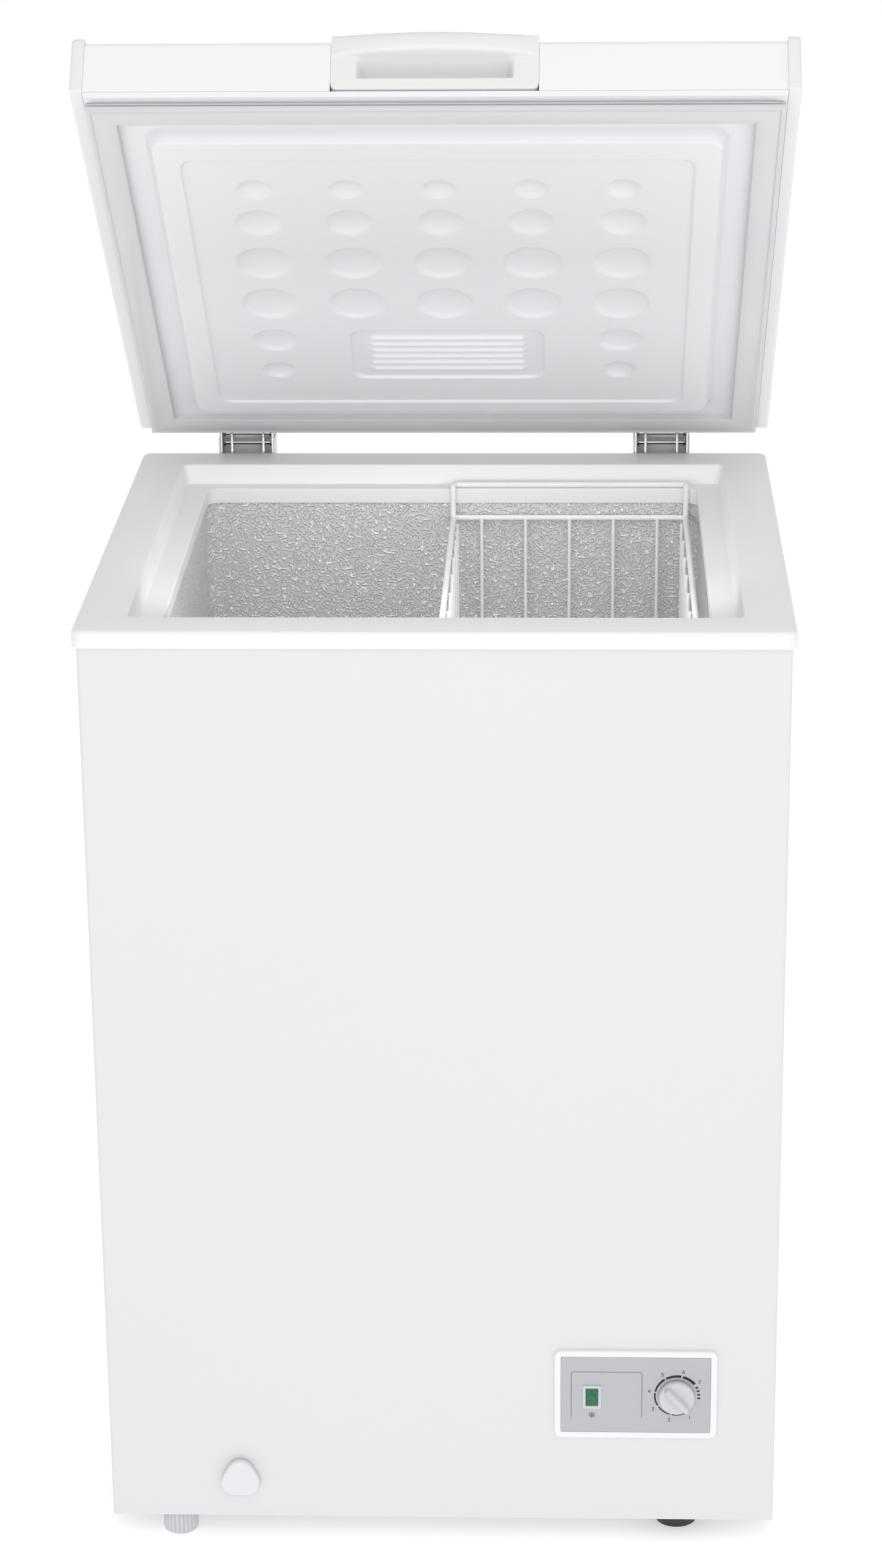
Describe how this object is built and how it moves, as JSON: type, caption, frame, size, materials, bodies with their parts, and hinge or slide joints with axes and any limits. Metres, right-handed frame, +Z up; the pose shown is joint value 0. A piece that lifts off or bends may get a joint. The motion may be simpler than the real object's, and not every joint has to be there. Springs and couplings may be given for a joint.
{
  "type": "chest freezer",
  "caption": "Small white chest freezer with a hinged top lid, embossed tank, hanging wire basket, thermostat panel and drain.",
  "frame": {"origin": "on the floor, under the middle of the overall width and the overall depth in the stored pose, lid propped open", "axes": "+X to the right seen from the front, +Y to the back, +Z up"},
  "size_m": [0.554, 0.5624, 1.2196],
  "materials": {
    "white_enamel": "semi-gloss",
    "lid_enamel": "semi-gloss",
    "galvanised_steel": "spangled",
    "white_moulding": "satin",
    "liner_plastic": "satin",
    "pale_plastic": "matt",
    "embossed_aluminium": "stucco embossed",
    "foam": "matt",
    "copper": "drawn",
    "steel_tube": "drawn",
    "black_enamel": "satin",
    "black_rubber": "matt",
    "zinc_steel": "zinc plated",
    "spring_steel": "drawn",
    "black_plastic": "matt",
    "silver_fascia": "satin",
    "green_lens": "gloss",
    "knob_plastic": "satin",
    "hinge_plastic": "satin",
    "gasket_vinyl": "satin",
    "foot_plastic": "matt",
    "coated_wire": "gloss"
  },
  "bodies": {
    "cabinet": {"outer_shell": "white_enamel", "back_panel": "white_enamel", "base_pan": "galvanised_steel", "compartment_panel": "galvanised_steel", "compressor_base_plate": "galvanised_steel", "top_frame": "white_moulding", "inner_tank": "embossed_aluminium", "tank_foam": "foam", "evaporator_coil": "copper", "condenser_coil": "steel_tube", "compressor_shell": "black_enamel", "compressor_cradle": "black_enamel", "compressor_grommets": "black_rubber", "compressor_bolts": "zinc_steel", "relay_cover": "black_plastic", "compressor_pipes": "copper", "filter_drier": "copper", "capillary_tube": "copper", "rear_cover": "galvanised_steel", "rear_cover_screws": "zinc_steel", "inlet_gland": "black_rubber", "control_bezel": "white_moulding", "control_fascia": "silver_fascia", "lamp_surround": "pale_plastic", "lamp_lens": "green_lens", "lamp_body": "pale_plastic", "thermostat_body": "zinc_steel", "thermostat_probe": "copper", "drain_sleeve": "white_moulding", "drain_hose": "pale_plastic", "fixed_feet": "black_rubber", "foot_bushes": "zinc_steel", "hinge_cabinet_brackets": "zinc_steel", "hinge_covers": "hinge_plastic", "hinge_pins": "zinc_steel", "hinge_screws": "zinc_steel"},
    "lid": {"lid_skin": "lid_enamel", "lid_liner": "liner_plastic", "lid_foam": "foam", "lid_gasket": "gasket_vinyl", "lid_handle": "white_moulding", "lid_end_cap_left": "white_moulding", "lid_end_cap_right": "white_moulding", "hinge_lid_brackets": "zinc_steel", "hinge_lid_screws": "zinc_steel"},
    "hinge_slider": {"hinge_sliders": "zinc_steel", "hinge_rods": "zinc_steel", "hinge_springs": "spring_steel"},
    "thermostat_dial": {"thermostat_knob": "knob_plastic", "thermostat_spindle": "zinc_steel"},
    "drain_spout": {"drain_spout": "white_moulding"},
    "drain_cap": {"drain_knob": "white_moulding"},
    "drain_plug": {"tank_drain_plug": "white_moulding"},
    "front_foot": {"levelling_foot_front": "foot_plastic", "levelling_stud_front": "zinc_steel"},
    "rear_foot": {"levelling_foot_rear": "foot_plastic", "levelling_stud_rear": "zinc_steel"},
    "basket": {"basket_frame": "coated_wire", "basket_long_wires": "coated_wire", "basket_cross_wires": "coated_wire"}
  },
  "joints": [
    {"name": "lid_hinge", "type": "hinge", "parent": "cabinet", "child": "lid", "pos_m": [0, 0.2692, 0.8173], "axis": [-1, 0, 0], "range_deg": [-43.3, 31.7]},
    {"name": "hinge_slider_travel", "type": "slide", "parent": "cabinet", "child": "hinge_slider", "axis": [0, 0, 1], "range_m": [-0.0031, 0.0023], "deforming": ["hinge_springs"]},
    {"name": "thermostat_turn", "type": "hinge", "parent": "cabinet", "child": "thermostat_dial", "pos_m": [0.192, -0.2753, 0.138], "axis": [0, 1, 0], "range_deg": [-165, 150]},
    {"name": "drain_spout_pull", "type": "slide", "parent": "cabinet", "child": "drain_spout", "axis": [0, -1, 0], "range_m": [0, 0.028]},
    {"name": "drain_cap_turn", "type": "hinge", "parent": "drain_spout", "child": "drain_cap", "pos_m": [-0.1657, -0.2693, 0.059], "axis": [0, -1, 0], "range_deg": [0, 180]},
    {"name": "drain_plug_lift", "type": "slide", "parent": "cabinet", "child": "drain_plug", "axis": [0, 0, 1], "range_m": [0, 0.05]},
    {"name": "front_foot_turn", "type": "hinge", "parent": "cabinet", "child": "front_foot", "pos_m": [-0.2185, -0.2483, 0], "axis": [0, 0, 1], "continuous": true},
    {"name": "rear_foot_turn", "type": "hinge", "parent": "cabinet", "child": "rear_foot", "pos_m": [-0.2185, 0.2177, 0], "axis": [0, 0, 1], "continuous": true},
    {"name": "basket_slide", "type": "slide", "parent": "cabinet", "child": "basket", "axis": [1, 0, 0], "range_m": [-0.205, 0.001]}
  ],
  "couplings": [
    {"joint": "hinge_slider_travel", "follows": "lid_hinge", "m_per_rad": 0.004}
  ]
}
